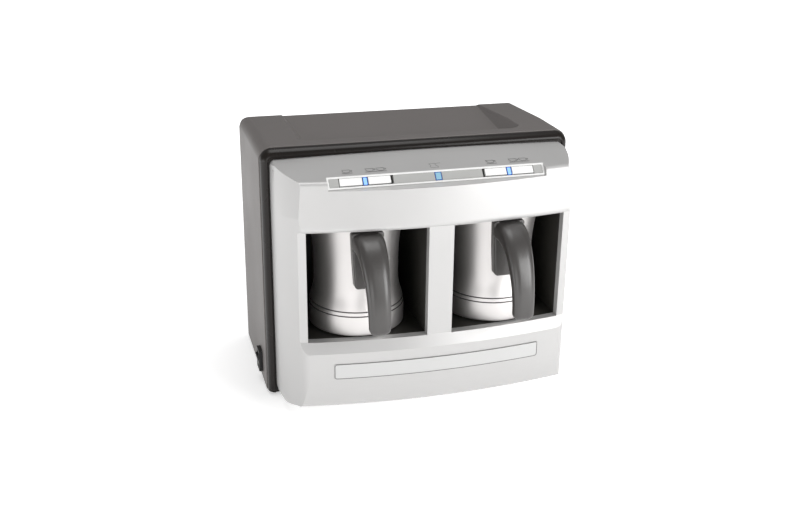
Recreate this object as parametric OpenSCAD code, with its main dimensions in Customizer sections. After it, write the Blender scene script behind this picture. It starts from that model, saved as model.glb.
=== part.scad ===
// Electric coffee maker with two pots, each on its own heated plate in an open bay.
// Sizes are in millimetres. +Z is up, the bays open towards -Y, and the part stands on its
// feet at z = 0 with the origin under the middle of its box.
// The pieces are drawn in a working frame: y = 0 is the seam between shell and trim ring,
// z = 0 is the shell's lower edge. place() moves that frame to the part's own.

/* [Shell] */
// Width of the shell
body_w = 300; // [296:1:312]
// Depth of the shell behind the seam
shell_d = 135; // [130:1:160]
// Height of the shell without its feet
shell_h = 244.5; // [243:0.5:256]
// Wall of the shell
shell_wall = 2.5; // [2:0.1:3.2]
// Radius of the two top corners, seen from the front
corner_r = 12; // [10:0.5:14]
// Radius of the rear edges
rear_r = 6; // [4:0.5:9]
// How far the top falls from its level front part to the rear edge
crown_fall = 4; // [2:0.5:6]
// Distance behind the seam where the top starts to fall
crown_start = 50; // [40:1:70]

/* [Top tray] */
// Width of the sunken tray at its rim
tray_w = 220; // [180:1:240]
// Distance from the seam to the tray's front rim
tray_lip = 14; // [10:0.5:20]
// Depth of the tray at its front
tray_depth = 13; // [8:0.5:15]
// Depth of the tray at the rear edge
tray_rear_depth = 1.2; // [0.8:0.1:3]
// Radius of the tray's front corners
tray_r = 13; // [8:0.5:20]

/* [Trim ring] */
// Width of the band between the shell's face and the panel's face
ring_band = 8.5; // [8:0.5:11]
// Depth of the ring in front of the seam
ring_depth = 9.6; // [8.5:0.1:12]
// Width of the shadow grooves beside the ring
groove_w = 0.9; // [0.6:0.1:1.2]

/* [Front panel] */
// Radius of the front's bow, seen from above
bow_r = 730; // [650:10:900]
// How far the base block reaches in front of the seam
base_reach = 85.4; // [84:0.2:92]
// Setback of the pillars behind the base block
pillar_set = 5.3; // [4:0.1:6]
// Setback of the fascia behind the base block
fascia_set = 1.6; // [1:0.1:2.5]
// Radius of the panel's sides, seen from above
side_r = 128; // [120:1:138]
// How far the sides lean back between the fascia's lower edge and the deck
side_lean = 13.5; // [8:0.5:15]
// Radius of the two vertical front corners
front_corner_r = 10; // [7:0.5:12]
// Wall of the panel
panel_wall = 2.5; // [2:0.1:2.8]
// Fall of the deck from the ring to its front edge
deck_fall = 7; // [6:0.5:8]
// Radius between deck and fascia
deck_nose_r = 4; // [3:0.5:5]
// How far the fascia leans back between the bays and the deck
fascia_lean = 6.5; // [5:0.5:7]
// Radius of the deck's side edges
deck_edge_r = 8; // [5:0.5:10]
// Radius of the base block's lower side edges
base_edge_r = 10; // [6:0.5:12]
// Height of the base block's toe
toe_z = 13; // [10:0.5:16]
// Radius of the base block's toe
toe_r = 8; // [6:0.5:10]

/* [Bays] */
// Width of each bay
bay_w = 109.4; // [106:0.2:110]
// Width of the middle pillar
pillar_w = 23.2; // [22:0.2:26]
// Height of the bay sill
sill_z = 79.5; // [78:0.5:86]
// Clear height of each bay
bay_h = 105; // [104.5:0.5:107]
// Height of the sloped ledge under the sill
ledge_h = 10; // [7:0.5:12]
// Depth of the panel's return around each bay
return_d = 8; // [6:0.5:9]
// Distance behind the seam of each bay's rear wall
bay_rear = 24; // [23:0.5:30]
// Wall of the bay liners
liner_wall = 2; // [1.6:0.1:2.4]

/* [Pots] */
// Distance of the pots' axes in front of the seam
pot_y = 26.5; // [25:0.5:28]
// Height of a pot
pot_h = 102; // [100:0.5:102.5]
// Radius of the foot
pot_foot_r = 45; // [44:0.5:46]
// Radius of the waist
pot_waist_r = 39.5; // [38:0.5:41]
// Radius of the rim
pot_rim_r = 43.5; // [42:0.5:45]
// Height at which the waist starts
pot_waist_low = 42; // [38:1:46]
// Height at which the waist ends and the rim flares
pot_waist_high = 66; // [60:1:74]
// Wall of a pot
pot_wall = 1.2; // [1:0.1:1.6]
// Thickness of a pot's bottom
pot_floor = 3; // [2:0.5:4]
// Height of the lower groove
groove_h = 19; // [15:0.5:22]
// Distance between the two grooves
groove_pitch = 4; // [3:0.5:5]
// Space between a pot and the plate it stands on
pot_gap = 0.3; // [0.2:0.05:0.4]

/* [Handles] */
// Distance from a pot's axis to the front of its grip
grip_reach = 96; // [92:0.5:100]
// Width of the grip
grip_w = 19; // [16:0.5:22]
// Thickness of the grip at its free end
grip_t = 12; // [10:0.5:14]
// Height of the handle's top above the pot's bottom
handle_top = 101; // [98:0.5:102]
// Height of the grip's free end above the pot's bottom
grip_end = 22; // [18:0.5:30]
// Height of the bracket's lower edge above the pot's bottom
bracket_low = 47.5; // [45:0.5:50]
// Width of the bracket at its top
bracket_w = 30; // [27:0.5:32]
// Distance from the pot's axis to the bracket's front
bracket_reach = 47.5; // [46:0.5:52]

/* [Control strip] */
// Length of the strip
strip_w = 201.4; // [199:0.2:203]
// Distance of the strip's top edge in front of the seam
strip_y = 61.1; // [60:0.1:62]
// Run of the strip from its top edge to its lower edge
strip_run = 8; // [7.6:0.1:8.4]
// Drop of the strip from its top edge to its lower edge
strip_drop = 9.1; // [8.8:0.1:9.6]
// Width of one key
key_w = 21; // [18:0.2:21.2]
// Width of a light bar
led_w = 4.7; // [4:0.1:6]
// Width of the dark slot beside the grey bars
slot_w = 2.1; // [1:0.1:3]
// Width of the centre light bar
centre_led_w = 6; // [5:0.1:8]
// Travel of a key
key_travel = 1; // [0.8:0.1:1.2]
// Gap around a moving key
key_gap = 0.35; // [0.3:0.05:0.4]

/* [Label plate] */
// Length of the label plate
label_w = 197; // [150:1:200]
// Height of the label plate
label_h = 14.5; // [10:0.5:16]
// Height of the label plate's lower edge
label_z = 44.5; // [42:0.5:48]

/* [Heating] */
// Radius of a heated plate
plate_r = 40; // [36:0.5:41]
// Thickness of a heated plate's rim flange
flange_t = 2; // [1.5:0.1:2.5]
// Radius of the heating element's ring
element_ring_r = 28; // [24:0.5:31]
// Radius of the heating element's tube
element_r = 3.3; // [2.5:0.1:3.8]
// Depth of the heat shield's pan
pan_depth = 14; // [12:0.5:16]

/* [Power switch] */
// Distance of the switch behind the seam
switch_y = 30; // [28:1:60]
// Height of the switch's middle above the shell's lower edge
switch_z = 19; // [18:0.5:24]
// Height of the switch's flange
switch_h = 22; // [21:0.5:24]
// Width of the switch's flange
switch_w = 15; // [14:0.5:18]
// Tilt of the rocker from its middle position
rocker_tilt = 10; // [7:1:10]

/* [Base] */
// Height of the rubber feet
foot_h = 3; // [2:0.5:4]
// Radius of the rubber feet
foot_r = 9; // [7:0.5:10]
// Thickness of the base plate
plate_t = 2.5; // [2:0.1:3]
// Length of the power board
board_w = 150; // [140:1:156]
// Depth of the power board
board_d = 78; // [76:1:82]
// Height of the standoffs under the power board
standoff_h = 9.5; // [8:0.5:11]
// Thickness of both circuit boards
pcb_t = 1.6; // [1.2:0.1:2]
// Bore of the cord gland
gland_bore_r = 3.6; // [3.2:0.1:4]

/* [Hidden] */
$fn = 48;
big = 400;
fine_fn = 360;
clear = 0.2;

half_w = body_w / 2;
panel_half = half_w - ring_band;
deck_z = shell_h - ring_band;
bay_top = sill_z + bay_h;
bay_x = pillar_w / 2 + bay_w / 2;
gland_flange = 2;
gland_x = 112;
gland_z = 24;
pot_z = sill_z + 1.5;
front_reach = pot_y + grip_reach;
seam_y = (front_reach - shell_d - gland_flange) / 2;

crown_angle = atan(crown_fall / (shell_d - crown_start));

// Panel: centres of the bow and of the side arcs, and the vertical corner's centre.
bow_cy = bow_r - base_reach;
side_c = [panel_half - side_r, -12];
panel_rear = ring_depth - 1.2;
pillar_r = bow_r - pillar_set;
fascia_r = bow_r - fascia_set;
deck_front_z = deck_z - deck_fall;
bay_lip = 0.5;
fascia_low = bay_top + bay_lip + pillar_set - fascia_set;
lean_angle = atan(fascia_lean / (deck_front_z - fascia_low));
deck_slope = deck_fall / (base_reach - fascia_set - fascia_lean - ring_depth);
deck_angle = atan(deck_slope);
under_r = 120;
under_z = 44;
under_run = 38;
lathe_back = 95;
lug_x = bay_x + bay_w / 2 + liner_wall + 1.2;
lug_zs = [20, 120, 222];
lug_half = 6.5;
lug_t = 3;
lug_screw_x = lug_x + 7;

// Control strip: a sloped plane, n outwards from it and s down along it.
// Points are (y, z). A ledge falls slowly from its lower edge to the fascia.
strip_l = norm([strip_run, strip_drop]);
strip_s = [-strip_run, -strip_drop] / strip_l;
strip_n = [-strip_drop, strip_run] / strip_l;
strip_top = [-strip_y, deck_z - deck_slope * (strip_y - ring_depth) + 0.3];
strip_low = strip_top + strip_l * strip_s;
ledge_slope = 0.11;
rail = 1.9;
bezel_floor_n = -3.5;
bezel_back_n = -5;
bezel_face_n = 0.6;
key_face_n = 0.9;
key_back_n = -2.2;
board_n = -15;
switch_top_n = board_n + 6.3;
stem_half = 1.2;
centre_led_x = centre_led_w / 2;
key_led_x = 66.7;
bar_end_x = key_led_x - led_w / 2 - key_w - slot_w;
keys = [
    [-key_led_x - led_w / 2 - key_w, -key_led_x - led_w / 2],
    [-key_led_x + led_w / 2, -key_led_x + led_w / 2 + key_w],
    [key_led_x - led_w / 2 - key_w, key_led_x - led_w / 2],
    [key_led_x + led_w / 2, key_led_x + led_w / 2 + key_w]
];
led_xs = [-key_led_x, 0, key_led_x];
post_xs = [-93, -30, 30, 93];
tray_x = strip_w / 2 - rail / 2;

// Rocker switch.
switch_flange = 1.8;
switch_body_y = switch_w / 2 - 1.5;
switch_body_z = switch_h / 2 - 1;
pocket_y = switch_body_y - 1.4;
rocker_pin_r = 1.5;
rocker_pin_x = -half_w + 4.4;
rocker_half_z = switch_h / 2 - 3.6;

// Heating.
plate_top = pot_z - pot_gap;
plate_under = sill_z - liner_wall - flange_t;
flange_r = plate_r + 3;
ear_r = 46.5;
ear_angles = [0, 90, 180];
pan_t = 0.8;
element_span = 320;

// Handles.
handle_screw_hs = [bracket_low + 12, handle_top - 16];

// Base and power board.
foot_xs = [-112, 112];
foot_front_y = -foot_r - panel_rear - 1;
foot_rear_y = shell_d - 22;
foot_stem_r = 3;
board_y = 83;
board_z = plate_t + standoff_h;
base_screw_x = half_w - shell_wall - 6.5;
base_screw_ys = [14, shell_d - 12];
base_boss_top = 12;
standoffs = [for (x = [-1, 1], y = [-1, 1])
    [x * (board_w / 2 - 5), board_y + y * (board_d / 2 - 5)]];

// ---------------------------------------------------------------- helpers

// Moves the working frame to the part's own origin.
module place() { translate([0, seam_y, foot_h]) children(); }

// Points of an arc about c from angle a0 to a1 in n steps.
function arc(c, r, a0, a1, n = 8) =
    [for (i = [0 : n]) c + r * [cos(a0 + (a1 - a0) * i / n), sin(a0 + (a1 - a0) * i / n)]];

// The same arc with a straight tangent run of length l0 before it and l1 after it.
function run_arc(c, r, a0, a1, l0, l1, n = 8) =
    let (turn = a1 > a0 ? 1 : -1, p = arc(c, r, a0, a1, n))
    concat([p[0] - l0 * turn * [-sin(a0), cos(a0)]], p, [p[n] + l1 * turn * [-sin(a1), cos(a1)]]);

// The meeting point of two circles that lies on the lower right of the line between them.
function circle_meet(c1, r1, c2, r2) =
    let (d = norm(c2 - c1), u = (c2 - c1) / d,
         a = (d * d + r1 * r1 - r2 * r2) / (2 * d), h = sqrt(r1 * r1 - a * a))
    c1 + a * u + h * [u[1], -u[0]];

// Extrudes an outline drawn in (x, z) along Y from y0 to y1.
module along_y(y0, y1) {
    translate([0, y1, 0]) rotate([90, 0, 0]) linear_extrude(y1 - y0) children();
}

// Extrudes an outline drawn in (y, z) along X from x0 to x1.
module along_x(x0, x1) {
    translate([x0, 0, 0]) rotate([90, 0, 90]) linear_extrude(x1 - x0) children();
}

// A box from one corner to the opposite one.
module span(low, high) { translate(low) cube(high - low); }

// A rod from one point to another.
module rod(a, b, r) {
    v = b - a;
    l = norm(v);
    translate(a) rotate([0, acos(v[2] / l), atan2(v[1], v[0])]) cylinder(r = r, h = l, $fn = 24);
}

// A lead that runs through all its points with a small bead at each bend.
module lead(points, r) {
    for (i = [0 : len(points) - 2]) rod(points[i], points[i + 1], r - 0.1 * (i % 2));
    for (i = [1 : len(points) - 2]) translate(points[i]) sphere(r = r + 0.3, $fn = 24);
}

// Copies its children for both bays, or puts them in one bay.
module in_bay(side) { translate([side * bay_x, 0, 0]) children(); }

// Sweeps an outline drawn in (radius, z) around the bow's axis between two distances from
// the middle, measured along the front.
module bow_sweep(x0, x1) {
    a0 = asin(x0 / bow_r);
    a1 = asin(x1 / bow_r);
    translate([0, bow_cy, 0]) rotate([0, 0, a0 - 90])
        rotate_extrude(angle = a1 - a0, $fn = fine_fn) children();
}

// A point (y, z) of the control strip's section: s down the slope, n outwards.
function strip_point(s, n) = strip_top + s * strip_s + n * strip_n;

// The strip's own flat frame: +Y up the slope from its top edge, +Z outwards.
module strip_flat() {
    translate([0, strip_top[0], strip_top[1]])
        rotate([atan2(strip_drop, strip_run), 0, 0]) children();
}

// A box in that frame: x, then s down the slope, then n outwards, each from low to high.
module strip_box(x0, x1, s0, s1, n0, n1) {
    strip_flat() span([x0, -s1, n0], [x1, -s0, n1]);
}

// ---------------------------------------------------------------- shell

// Height of the shell's top at a distance y behind the seam.
function top_z(y) = shell_h - crown_fall * max(0, (y - crown_start) / (shell_d - crown_start));

// The shell's outline seen from the front, set in by t, with its two top corners.
module shell_front(t) {
    along_y(-big, big) polygon(concat(
        [[half_w - t, -big]],
        arc([half_w - corner_r, shell_h - corner_r], corner_r - t, 0, 90),
        arc([corner_r - half_w, shell_h - corner_r], corner_r - t, 90, 180),
        [[t - half_w, -big]]));
}

// The shell's outer form, set in by t at its top, sides and rear.
module shell_form(t) {
    y1 = shell_d - t;
    rr = rear_r - t / 2;
    low = -shell_wall;
    intersection() {
        shell_front(t);
        translate([0, crown_start, shell_h]) rotate([-crown_angle, 0, 0])
            translate([0, -crown_start, -shell_h]) shell_front(t - 0.02);
        along_x(-big, big) polygon(concat(
            [[-big, low], [-big, shell_h + 20]],
            run_arc([y1 - rr, top_z(y1 - rr) - t - rr], rr, 75, 0, 40,
                top_z(y1 - rr) - t - rr - low, 6)));
        translate([0, 0, -big]) linear_extrude(2 * big) polygon(concat(
            [[half_w - t, -big]],
            arc([half_w - t - rr, y1 - rr], rr, 0, 90, 6),
            arc([t + rr - half_w, y1 - rr], rr, 90, 180, 6),
            [[t - half_w, -big]]));
    }
}

// The tray's hollow, grown by t: a floor that rises to the rear between sloped sides.
module tray_form(t) {
    rise = (tray_depth - tray_rear_depth - crown_fall) / (shell_d - tray_lip);
    floor_z = shell_h - tray_depth - t;
    w = tray_w / 2 + t;
    low = tray_depth + 2 * shell_wall + 4;
    intersection() {
        along_y(-big, big) polygon([
            [low - w, shell_h - low], [w - low, shell_h - low],
            [w + big, shell_h + big], [-w - big, shell_h + big]]);
        along_x(-big, big) polygon([
            [0, floor_z - rise * tray_lip], [big, floor_z + rise * (big - tray_lip)],
            [big, 2 * big], [0, 2 * big]]);
        linear_extrude(2 * big) polygon(concat(
            arc([tray_w / 2 + t - tray_r, tray_lip - t + tray_r], tray_r, 0, -90),
            arc([tray_r - tray_w / 2 - t, tray_lip - t + tray_r], tray_r, -90, -180),
            [[-tray_w / 2 - t, big], [tray_w / 2 + t, big]]));
    }
}

module rear_shell() {
    color([0.43, 0.40, 0.38]) place() difference() {
        union() {
            difference() {
                shell_form(0);
                difference() {
                    shell_form(shell_wall);
                    tray_form(shell_wall);
                }
            }
            for (side = [-1, 1]) {
                for (z = lug_zs) shell_lug(side, z);
                for (y = base_screw_ys) base_boss(side, y);
            }
        }
        tray_form(0);
        span([-big, -big, -big], [big, 0, big]);
        span([-big, -big, -big], [big, big, 0]);
        for (side = [-1, 1], z = lug_zs)
            rod([side * lug_screw_x, lug_t - 1, z], [side * lug_screw_x, 2 * lug_t + 1, z], 2);
        for (side = [-1, 1], y = base_screw_ys)
            rod([side * base_screw_x, y, plate_t - 1], [side * base_screw_x, y, base_boss_top - 2],
                1.5);
        span([-half_w - 1, switch_y - switch_body_y - clear, switch_z - switch_body_z - clear],
             [-half_w + 8, switch_y + switch_body_y + clear, switch_z + switch_body_z + clear]);
        rod([gland_x, shell_d - 10, gland_z], [gland_x, shell_d + 5, gland_z], 7.2);
    }
}

// A lug inside the shell that a screw passes through on its way to the panel.
module shell_lug(side, z) {
    reach = half_w - shell_wall / 2;
    x0 = min(side * lug_x, side * reach);
    span([x0, lug_t, z - lug_half], [x0 + reach - lug_x, 2 * lug_t, z + lug_half]);
}

// A boss in the shell's lower corner that a base screw bites into.
module base_boss(side, y) {
    reach = half_w - shell_wall / 2;
    x0 = min(side * (base_screw_x - 4), side * reach);
    span([x0, y - 5, plate_t], [x0 + reach - base_screw_x + 4, y + 5, base_boss_top]);
}

// ---------------------------------------------------------------- trim ring

// The ring's section: u outwards from the panel's face, v along +Y from the seam.
function ring_section() =
    let (rim = ring_band - groove_w, nose = ring_depth - 1, low = panel_rear)
    concat(
        [[3.5, lug_t - clear], [ring_band - shell_wall - clear, lug_t - clear],
         [ring_band - shell_wall - clear, 0], [rim - 0.7, 0], [rim - 0.7, -1]],
        [for (i = [0 : 8]) [groove_w + (rim - groove_w) * cos(i * 11.25),
                            -1 - nose * sin(i * 11.25)]],
        [[groove_w, -low], [-3, -low], [-3, 2.5 - low], [1, 2.5 - low], [3.5, -3.4]]);

module trim_ring() {
    x_in = half_w - corner_r;
    z_in = shell_h - corner_r;
    inner_r = corner_r - ring_band;
    color([0.13, 0.12, 0.12]) place() difference() {
        union() {
            for (side = [0, 1]) mirror([side, 0, 0]) {
                translate([panel_half, 0, 0]) linear_extrude(z_in) polygon(ring_section());
                translate([x_in, 0, z_in]) rotate([90, 0, 0])
                    rotate_extrude(angle = 90, $fn = fine_fn)
                        polygon([for (p = ring_section()) [p[0] + inner_r, -p[1]]]);
                for (z = lug_zs)
                    span([lug_x, -panel_rear, z - lug_half],
                         [panel_half - 1, lug_t - clear, z + lug_half]);
            }
            along_x(-x_in, x_in)
                polygon([for (p = ring_section()) [p[1], z_in + inner_r + p[0]]]);
        }
        for (side = [-1, 1], z = lug_zs)
            rod([side * lug_screw_x, -ring_depth, z], [side * lug_screw_x, lug_t + 1, z], 2);
    }
}

// ---------------------------------------------------------------- front panel

// The panel's plan, set in by t: it cuts the rear edge and rounds the two front corners. The
// sides and the bowed front come from the turned forms below.
function panel_half_plan(t, rear) =
    let (k = corner_centre(bow_r),
         a = atan2(k[1] - side_c[1], k[0] - side_c[0]) - 4,
         b = atan2(k[1] - bow_cy, k[0]) + 4,
         corner = run_arc(k, front_corner_r - t, b, a, k[0] / cos(b + 90), side_r / 2, 6))
    concat([[0, corner[0][1]]], corner, [[corner[8][0], rear]]);

module panel_plan(t, rear) {
    right = panel_half_plan(t, rear);
    n = len(right);
    polygon(concat(right, [for (i = [1 : n - 1]) [-right[n - i][0], right[n - i][1]]]));
}

// Centre of the vertical corner where a front of radius r meets the side's arc, moved back.
function corner_centre(r, back = 0) =
    circle_meet(side_c + [0, back], side_r - front_corner_r, [0, bow_cy], r - front_corner_r);

// The right side leaning back above the fascia's lower edge, and all below that, set in by t.
module leaning_side(t) {
    tilt = atan(side_lean / (deck_front_z - fascia_low));
    translate([side_c[0], side_c[1], fascia_low]) {
        rotate([-tilt, 0, 0]) translate([0, 0, -big / 2])
            cylinder(r = side_r - t, h = big, $fn = fine_fn);
        translate([0, 0, -big]) cylinder(r = side_r + 20, h = big, $fn = fine_fn);
    }
}

// All that lies inside the right corner of the leaning fascia, set in by t.
module lean_corner(t) {
    k = corner_centre(fascia_r);
    top = corner_centre(fascia_r - fascia_lean, side_lean);
    v = concat(top - k, deck_front_z - fascia_low);
    turn = atan2(v[1], v[0]);
    a = atan2(top[1] - side_c[1] - side_lean, top[0] - side_c[0]) - 4;
    b = atan2(k[1] - bow_cy, k[0]) + 4;
    translate([k[0], k[1], fascia_low]) rotate([0, acos(v[2] / norm(v)), turn])
        rotate([0, 0, -turn]) translate([0, 0, -big]) linear_extrude(2 * big)
            polygon(concat(run_arc([0, 0], front_corner_r - t, b, a, big, big, 6),
                [[-big, big]]));
}

// The panel's section through the bow's axis, set in by t.
function panel_section(t) =
    let (front = bow_r - t, fall = under_z - toe_z - toe_r,
         toe = front - under_r + sqrt(under_r * under_r - fall * fall),
         pillar = pillar_r - t, round_r = pillar_set - fascia_set,
         edge = fascia_r - fascia_lean,
         nose = [edge, deck_front_z] - deck_nose_r / cos(lean_angle + deck_angle)
             * [cos(deck_angle) - sin(lean_angle), cos(lean_angle) - sin(deck_angle)])
    concat(
        [[bow_r - lathe_back, t], [toe - toe_r - under_run, t]],
        arc([toe - toe_r, toe_z + toe_r + t], toe_r, -90, 0, 5),
        [for (i = [1 : 4]) let (z = under_z - fall * (1 - i / 4))
            [front - under_r + sqrt(under_r * under_r - pow(under_z - z, 2)), z]],
        [[front, sill_z - ledge_h], [pillar, sill_z + bay_lip - t]],
        arc([pillar, fascia_low + t], round_r, -90, lean_angle, 5),
        arc(nose, deck_nose_r - t, lean_angle, 90 - deck_angle, 5),
        [[bow_r - lathe_back, deck_front_z - t / cos(deck_angle)
            + deck_slope * (edge - bow_r + lathe_back)]]);

// The section of the panel's curved sides about their own axis, set in by t.
function side_section(t) =
    let (low = run_arc([side_r - base_edge_r, base_edge_r], base_edge_r - t, -75, 0, 40, 0, 5),
         top = run_arc([side_r - deck_edge_r, deck_z - deck_edge_r], deck_edge_r - t, 0, 75, 0, 40,
             5))
    concat([[0, low[0][1]]], low, top, [[0, top[7][1]]]);

// The panel's closed outer form, set in by t and cut at its rear.
module panel_form(t, rear) {
    intersection() {
        translate([0, 0, -big]) linear_extrude(2 * big) panel_plan(t, rear);
        bow_sweep(-bow_r * sin(14), bow_r * sin(14)) polygon(panel_section(t));
        for (side = [0, 1]) mirror([side, 0, 0]) translate([side_c[0], side_c[1], 0])
            rotate_extrude($fn = fine_fn) polygon(side_section(t));
        for (side = [0, 1]) mirror([side, 0, 0]) lean_corner(t);
        for (side = [0, 1]) mirror([side, 0, 0]) leaning_side(t);
    }
}

// The notch in front of the strip's plane and above its ledge, grown by t.
module strip_notch(t) {
    p = strip_point(0, -t);
    s = (p[1] - strip_low[1] + t - ledge_slope * (p[0] - strip_low[0]))
        / (ledge_slope * strip_s[0] - strip_s[1]);
    corner = strip_point(s, -t);
    back = strip_point(-2 * strip_l, -t);
    front = corner - 3 * strip_l * [1, ledge_slope];
    x = strip_w / 2 + clear + t;
    along_x(-x, x) polygon([back, corner, front, [front[0], big], [back[0], big]]);
}

// The openings of both bays, grown by t and reaching from y0 to y1.
module bay_openings(t, y0, y1) {
    for (side = [-1, 1]) in_bay(side)
        span([-bay_w / 2 - t, y0, sill_z - t], [bay_w / 2 + t, y1, bay_top + t]);
}

// A ring about the bow's axis between two radii, over the panel's whole width.
module bow_ring(r0, r1) {
    bow_sweep(-half_w, half_w) polygon([[r0, 0], [r1, 0], [r1, shell_h], [r0, shell_h]]);
}

module front_panel() {
    boss_d = 13;
    color([0.82, 0.81, 0.79]) place() difference() {
        union() {
            difference() {
                panel_form(0, -panel_rear);
                difference() {
                    panel_form(panel_wall, big);
                    strip_notch(panel_wall);
                }
            }
            intersection() {
                bay_openings(panel_wall, -base_reach, 0);
                bow_ring(pillar_r - return_d, pillar_r - panel_wall / 2);
            }
            for (side = [-1, 1], z = lug_zs) {
                x0 = min(side * lug_x, side * (panel_half - panel_wall / 2));
                span([x0, -panel_rear - boss_d, z - lug_half],
                     [x0 + panel_half - panel_wall / 2 - lug_x, -panel_rear, z + lug_half]);
            }
            for (x = foot_xs)
                rod([x, foot_front_y, panel_wall / 2], [x, foot_front_y, panel_wall + 2], 6);
        }
        bay_openings(0, -big, 0);
        union() {
            strip_notch(0);
            strip_box(-tray_x - clear, tray_x + clear, rail / 2 - clear,
                strip_l - rail / 2 + clear, bezel_back_n - 1, 1);
        }
        bow_sweep(-label_w / 2 - clear, label_w / 2 + clear)
            polygon([for (p = [[-0.8, -clear], [9, -clear], [9, label_h + clear],
                [-0.8, label_h + clear]]) [bow_r + p[0], label_z + p[1]]]);
        for (side = [-1, 1], z = lug_zs)
            rod([side * lug_screw_x, 2 - boss_d - panel_rear, z], [side * lug_screw_x, 1, z],
                1.55);
        for (x = foot_xs)
            rod([x, foot_front_y, -1], [x, foot_front_y, panel_wall + 3], foot_stem_r + 0.1);
    }
}

// ---------------------------------------------------------------- bay liners

module bay_liner(side) {
    floor_low = sill_z - liner_wall;
    color([0.05, 0.05, 0.05]) place() difference() {
        union() {
            intersection() {
                in_bay(side)
                    span([-bay_w / 2 - liner_wall, -base_reach, floor_low],
                         [bay_w / 2 + liner_wall, bay_rear + liner_wall, bay_top + liner_wall]);
                bow_ring(bow_r - lathe_back * 2, pillar_r - return_d - clear);
            }
            in_bay(side) translate([0, -pot_y, 0])
                for (a = ear_angles) rotate([0, 0, a]) translate([ear_r, 0, plate_under])
                    cylinder(r = 3.6, h = flange_t + liner_wall / 2, $fn = 32);
        }
        in_bay(side) {
            span([-bay_w / 2, -base_reach - 1, sill_z], [bay_w / 2, bay_rear, bay_top]);
            translate([0, -pot_y, 0]) {
                translate([0, 0, plate_under - 1])
                    cylinder(r = plate_r + clear, h = 9, $fn = fine_fn);
                for (a = ear_angles) rotate([0, 0, a])
                    rod([ear_r, 0, plate_under - 1], [ear_r, 0, sill_z - 0.8], 1.35);
                rod([0, 0, bay_top - 1], [0, 0, bay_top + 9], 5.3);
            }
        }
    }
}

module bay_liner_left() { bay_liner(-1); }

module bay_liner_right() { bay_liner(1); }

// ---------------------------------------------------------------- control strip

// The middle of a key, as a distance from the strip's middle.
function mid(pair) = (pair[0] + pair[1]) / 2;

module control_bezel() {
    x = strip_w / 2;
    color([0.86, 0.86, 0.85]) place() difference() {
        union() {
            strip_box(-x, x, 0, strip_l - 0.1, 0, bezel_face_n);
            strip_box(-tray_x, tray_x, rail / 2, strip_l - rail / 2, bezel_back_n, 0.1);
            for (px = post_xs) strip_flat()
                rod([px, -strip_l / 2, board_n], [px, -strip_l / 2, bezel_back_n + 0.5], 2.6);
        }
        strip_box(rail - x, x - rail, rail, strip_l - rail, bezel_floor_n, 5);
        for (k = keys)
            strip_box(mid(k) - stem_half - 0.4, mid(k) + stem_half + 0.4,
                strip_l / 2 - stem_half - 0.4, strip_l / 2 + stem_half + 0.4, board_n, 0);
        strip_flat() {
            for (lx = led_xs) rod([lx, -strip_l / 2, board_n + 1], [lx, -strip_l / 2, 0], 1.7);
            for (px = post_xs)
                rod([px, -strip_l / 2, board_n - 1], [px, -strip_l / 2, bezel_back_n], 1.05);
        }
    }
}

// A block that fills the bezel's tray between two distances, up to n outwards.
module strip_fill(x0, x1, gap, n0, n1) {
    strip_box(x0, x1, rail + gap, strip_l - rail - gap, n0, n1);
}

module strip_inlays() {
    color([0.55, 0.56, 0.57]) place() for (side = [0, 1]) mirror([side, 0, 0]) {
        strip_fill(centre_led_x + key_gap, bar_end_x, clear, bezel_floor_n, bezel_face_n);
        strip_fill(keys[3][1] + key_gap, strip_w / 2 - rail - clear, clear, bezel_floor_n,
            bezel_face_n);
    }
}

module key_body(k) {
    color([0.95, 0.95, 0.94]) place() union() {
        strip_fill(k[0] + key_gap, k[1] - key_gap, key_gap, key_back_n, key_face_n);
        strip_box(mid(k) - stem_half, mid(k) + stem_half, strip_l / 2 - stem_half,
            strip_l / 2 + stem_half, switch_top_n + key_travel + 0.05, key_back_n + 0.4);
    }
}

module key_left_one() { key_body(keys[0]); }

module key_left_two() { key_body(keys[1]); }

module key_right_one() { key_body(keys[2]); }

module key_right_two() { key_body(keys[3]); }

module led_lens(x, w) {
    color([0.25, 0.45, 0.95]) place()
        strip_fill(x - w / 2, x + w / 2, clear, bezel_floor_n, bezel_face_n);
}

module led_lens_left() { led_lens(-key_led_x, led_w - 2 * clear); }

module led_lens_centre() { led_lens(0, centre_led_w); }

module led_lens_right() { led_lens(key_led_x, led_w - 2 * clear); }

module control_board() {
    color([0.10, 0.30, 0.16]) place() difference() {
        strip_box(-97, 97, -4, 15, board_n - pcb_t, board_n);
        strip_flat() for (px = post_xs)
            rod([px, -strip_l / 2, board_n - 5], [px, -strip_l / 2, board_n + 1], 1.25);
    }
}

module board_screws() {
    color([0.75, 0.75, 0.77]) place() strip_flat() for (px = post_xs)
        translate([px, -strip_l / 2, board_n - pcb_t]) {
            translate([0, 0, -1.6]) cylinder(r = 2.2, h = 1.6, $fn = 32);
            translate([0, 0, -0.1]) cylinder(r = 1, h = 4.4, $fn = 24);
        }
}

module tact_switches() {
    color([0.15, 0.15, 0.16]) place() strip_flat() for (k = keys)
        translate([mid(k), -strip_l / 2, board_n]) {
            span([-3, -3, 0], [3, 3, 3.5]);
            cylinder(r = 1.7, h = switch_top_n - board_n, $fn = 24);
        }
}

module leds() {
    color([0.80, 0.85, 1.00]) place() strip_flat() for (x = led_xs)
        translate([x, -strip_l / 2, board_n]) {
            cylinder(r = 2, h = 1, $fn = 32);
            cylinder(r = 1.45, h = bezel_back_n - 0.6 - board_n, $fn = 32);
        }
}

module label_plate() {
    color([0.80, 0.80, 0.79]) place() bow_sweep(-label_w / 2, label_w / 2)
        polygon([for (p = [[-0.8, 0], [0.5, 0], [0.5, label_h], [-0.8, label_h]])
            [bow_r + p[0], label_z + p[1]]]);
}

// ---------------------------------------------------------------- pots and handles

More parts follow.
